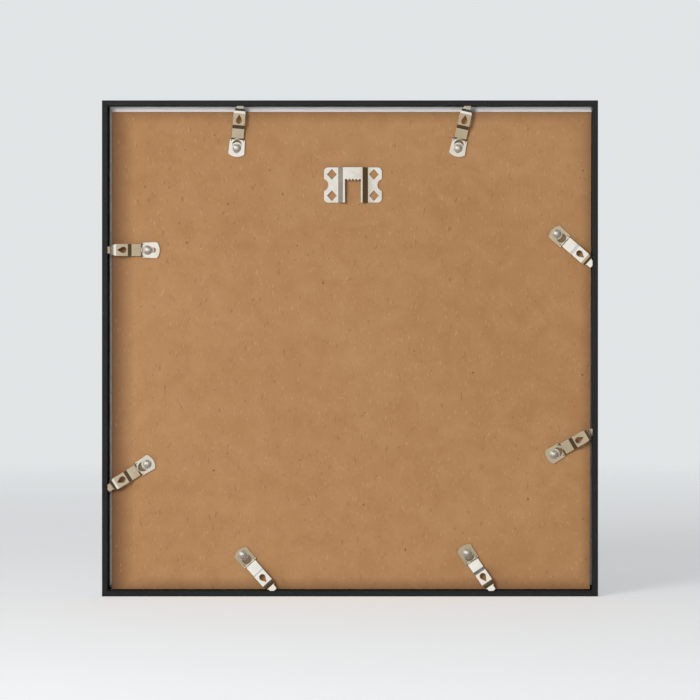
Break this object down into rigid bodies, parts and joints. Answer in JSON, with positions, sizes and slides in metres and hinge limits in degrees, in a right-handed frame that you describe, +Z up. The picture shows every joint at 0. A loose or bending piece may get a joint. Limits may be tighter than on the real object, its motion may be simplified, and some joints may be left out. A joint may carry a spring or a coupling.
{
  "type": "picture frame",
  "caption": "Square slim metal picture frame with mat and glazing; its hardboard back is held by turn clips and has a sawtooth hanger.",
  "frame": {"origin": "middle of the underside of the bottom rail, at half the frame's depth", "axes": "+Z up as the picture hangs, +Y out of the back towards the wall, the picture faces -Y; left and right in the names are as seen from the back, so left is +X"},
  "size_m": [0.33, 0.014, 0.33],
  "materials": {
    "frame_metal": "satin black coated extrusion",
    "key_metal": "black coated casting",
    "glazing": "clear flat sheet",
    "mat_board": "matt white mount board",
    "insert_paper": "matt white paper",
    "hardboard": "smooth brown hardboard with short fibres",
    "hanger_steel": "bright zinc plated sheet",
    "spring_steel": "bright nickel plated spring steel",
    "rivet_steel": "bright plated"
  },
  "bodies": {
    "frame": {"rail_top": "frame_metal", "rail_bottom": "frame_metal", "rail_left": "frame_metal", "rail_right": "frame_metal", "corner_key_top_left": "key_metal", "corner_key_top_right": "key_metal", "corner_key_bottom_left": "key_metal", "corner_key_bottom_right": "key_metal", "glazing": "glazing", "mat": "mat_board", "insert_sheet": "insert_paper", "backing_board": "hardboard", "sawtooth_hanger": "hanger_steel"},
    "rivet_top_left": {"rivet_top_left": "rivet_steel"},
    "clip_top_left": {"clip_top_left": "spring_steel"},
    "rivet_top_right": {"rivet_top_right": "rivet_steel"},
    "clip_top_right": {"clip_top_right": "spring_steel"},
    "rivet_left_upper": {"rivet_left_upper": "rivet_steel"},
    "clip_left_upper": {"clip_left_upper": "spring_steel"},
    "rivet_left_lower": {"rivet_left_lower": "rivet_steel"},
    "clip_left_lower": {"clip_left_lower": "spring_steel"},
    "rivet_bottom_left": {"rivet_bottom_left": "rivet_steel"},
    "clip_bottom_left": {"clip_bottom_left": "spring_steel"},
    "rivet_bottom_right": {"rivet_bottom_right": "rivet_steel"},
    "clip_bottom_right": {"clip_bottom_right": "spring_steel"},
    "rivet_right_upper": {"rivet_right_upper": "rivet_steel"},
    "clip_right_upper": {"clip_right_upper": "spring_steel"},
    "rivet_right_lower": {"rivet_right_lower": "rivet_steel"},
    "clip_right_lower": {"clip_right_lower": "spring_steel"}
  },
  "joints": [
    {"name": "swivel_top_left", "type": "hinge", "parent": "frame", "child": "rivet_top_left", "pos_m": [0.07549, 0.001, 0.29851], "axis": [0, -1, 0], "range_deg": [-95, 175]},
    {"name": "slide_top_left", "type": "slide", "parent": "rivet_top_left", "child": "clip_top_left", "axis": [-0.0872, 0, 0.9962], "range_m": [-0.00239, 0.00006]},
    {"name": "swivel_top_right", "type": "hinge", "parent": "frame", "child": "rivet_top_right", "pos_m": [-0.0721, 0.001, 0.29834], "axis": [0, -1, 0], "range_deg": [-102.4, 167.6]},
    {"name": "slide_top_right", "type": "slide", "parent": "rivet_top_right", "child": "clip_top_right", "axis": [-0.2147, 0, 0.9767], "range_m": [-0.0026, 0.00032]},
    {"name": "swivel_left_upper", "type": "hinge", "parent": "frame", "child": "rivet_left_upper", "pos_m": [0.1346, 0.001, 0.23049], "axis": [0, 1, 0], "range_deg": [-90, 180]},
    {"name": "slide_left_upper", "type": "slide", "parent": "rivet_left_upper", "child": "clip_left_upper", "axis": [1, 0, 0], "range_m": [-0.0005, 0.00094]},
    {"name": "swivel_left_lower", "type": "hinge", "parent": "frame", "child": "rivet_left_lower", "pos_m": [0.13519, 0.001, 0.0879], "axis": [0, 1, 0], "range_deg": [-4, 148]},
    {"name": "slide_left_lower", "type": "slide", "parent": "rivet_left_lower", "child": "clip_left_lower", "axis": [0.848, 0, -0.5299], "range_m": [-0.0034, 0.00079]},
    {"name": "swivel_bottom_left", "type": "hinge", "parent": "frame", "child": "rivet_bottom_left", "pos_m": [0.07162, 0.001, 0.02747], "axis": [0, 1, 0], "range_deg": [-2.5, 138]},
    {"name": "slide_bottom_left", "type": "slide", "parent": "rivet_bottom_left", "child": "clip_bottom_left", "axis": [-0.6691, 0, -0.7431], "range_m": [-0.0042, 0]},
    {"name": "swivel_bottom_right", "type": "hinge", "parent": "frame", "child": "rivet_bottom_right", "pos_m": [-0.07807, 0.001, 0.02842], "axis": [0, 1, 0], "range_deg": [-3.5, 145.5]},
    {"name": "slide_bottom_right", "type": "slide", "parent": "rivet_bottom_right", "child": "clip_bottom_right", "axis": [-0.5664, 0, -0.8241], "range_m": [-0.00252, 0.00114]},
    {"name": "swivel_right_upper", "type": "hinge", "parent": "frame", "child": "rivet_right_upper", "pos_m": [-0.13784, 0.001, 0.24146], "axis": [0, -1, 0], "range_deg": [-1.5, 138]},
    {"name": "slide_right_upper", "type": "slide", "parent": "rivet_right_upper", "child": "clip_right_upper", "axis": [-0.7431, 0, -0.6691], "range_m": [-0.0042, 0]},
    {"name": "swivel_right_lower", "type": "hinge", "parent": "frame", "child": "rivet_right_lower", "pos_m": [-0.13605, 0.001, 0.09435], "axis": [0, 1, 0], "range_deg": [-1.5, 149]},
    {"name": "slide_right_lower", "type": "slide", "parent": "rivet_right_lower", "child": "clip_right_lower", "axis": [-0.8572, 0, 0.515], "range_m": [-0.00281, 0.0004]}
  ]
}
